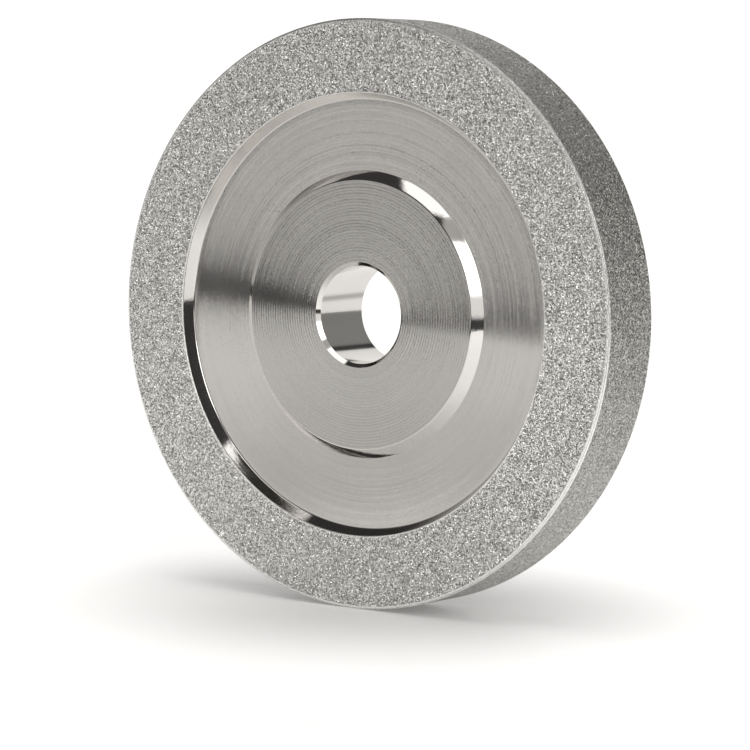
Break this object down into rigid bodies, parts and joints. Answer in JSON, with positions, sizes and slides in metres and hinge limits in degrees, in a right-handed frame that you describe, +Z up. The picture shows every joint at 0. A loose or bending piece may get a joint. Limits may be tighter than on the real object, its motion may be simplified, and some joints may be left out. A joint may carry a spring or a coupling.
{
  "type": "diamond grinding wheel",
  "caption": "Electroplated diamond grinding wheel: a turned steel disc with a raised hub and centre bore, its rim and both side rings coated in diamond grit.",
  "frame": {"origin": "centre of the wheel: on the bore's axis, midway between the front and back coated faces", "axes": "Y along the wheel's axis, with the recessed front and its hub facing -Y and the flat back facing +Y; +Z up; X to the side"},
  "size_m": [0.1524, 0.0206, 0.1524],
  "materials": {
    "plated_steel": "turned, nickel flashed, satin with fine circular tool marks; polished on the cones and chamfers",
    "diamond_front": "coarse diamond grit in plated nickel, sparkling warm grey",
    "diamond_rim": "coarse diamond grit in plated nickel, sparkling warm grey",
    "diamond_back": "coarse diamond grit in plated nickel, sparkling warm grey"
  },
  "bodies": {
    "root": {"steel_core": "plated_steel", "diamond_front_ring": "diamond_front", "diamond_rim_band": "diamond_rim", "diamond_back_ring": "diamond_back"}
  },
  "joints": []
}
